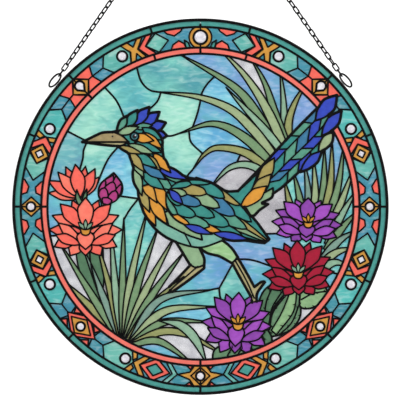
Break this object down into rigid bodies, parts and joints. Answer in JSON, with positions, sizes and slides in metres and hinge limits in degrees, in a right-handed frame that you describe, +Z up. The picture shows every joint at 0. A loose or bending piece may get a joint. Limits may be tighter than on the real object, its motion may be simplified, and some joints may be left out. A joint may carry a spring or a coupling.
{
  "type": "round stained glass window panel",
  "caption": "Round leaded glass panel with a patterned border and a picture of a long-tailed bird among desert plants, hung by a black chain.",
  "frame": {"origin": "middle of the chain's middle link, which a hook or nail holds", "axes": "+Z up, -Y towards the viewer in front of the picture, +X to the viewer's right"},
  "size_m": [0.3, 0.0059, 0.4162],
  "materials": {
    "black_came": "satin black patina",
    "black_wire": "satin black",
    "border_glass": "rippled, with white stones",
    "cactus_glass": "rippled",
    "coral_glass": "rippled",
    "crimson_glass": "rippled",
    "feather_glass": "rippled",
    "leg_glass": "rippled",
    "magenta_glass": "rippled",
    "purple_glass": "rippled",
    "sky_glass": "rippled",
    "teal_glass": "rippled"
  },
  "bodies": {
    "root": {"bird_back": "feather_glass", "bird_breast": "feather_glass", "bird_head": "feather_glass", "bird_leg_left": "leg_glass", "bird_leg_right": "leg_glass", "bird_neck": "feather_glass", "bird_tail": "feather_glass", "bird_wing": "feather_glass", "border_panel_1": "border_glass", "border_panel_2": "border_glass", "border_panel_3": "border_glass", "border_panel_4": "border_glass", "border_panel_5": "border_glass", "border_panel_6": "border_glass", "border_panel_7": "border_glass", "border_panel_8": "border_glass", "cactus_lower": "cactus_glass", "cactus_right": "cactus_glass", "chain_left": "black_wire", "chain_right": "black_wire", "coral_ring_glass_1": "coral_glass", "coral_ring_glass_2": "coral_glass", "coral_ring_glass_3": "coral_glass", "coral_ring_glass_4": "coral_glass", "coral_ring_glass_5": "coral_glass", "coral_ring_glass_6": "coral_glass", "coral_ring_glass_7": "coral_glass", "coral_ring_glass_8": "coral_glass", "flower_bud": "magenta_glass", "flower_coral_lower": "coral_glass", "flower_coral_upper": "coral_glass", "flower_crimson": "crimson_glass", "flower_purple_lower": "purple_glass", "flower_purple_right": "purple_glass", "hanging_link": "black_wire", "hanging_loop_left": "black_wire", "hanging_loop_right": "black_wire", "lead_web": "black_came", "outer_ring_glass_1": "teal_glass", "outer_ring_glass_10": "teal_glass", "outer_ring_glass_11": "teal_glass", "outer_ring_glass_12": "teal_glass", "outer_ring_glass_13": "teal_glass", "outer_ring_glass_14": "teal_glass", "outer_ring_glass_2": "teal_glass", "outer_ring_glass_3": "teal_glass", "outer_ring_glass_4": "teal_glass", "outer_ring_glass_5": "teal_glass", "outer_ring_glass_6": "teal_glass", "outer_ring_glass_7": "teal_glass", "outer_ring_glass_8": "teal_glass", "outer_ring_glass_9": "teal_glass", "rim": "black_came", "sky_and_agave_above": "sky_glass", "sky_and_agave_left": "sky_glass", "sky_and_agave_right": "sky_glass", "sky_between_legs": "sky_glass", "sky_lower_right": "sky_glass", "sky_upper_left": "sky_glass"}
  },
  "joints": []
}
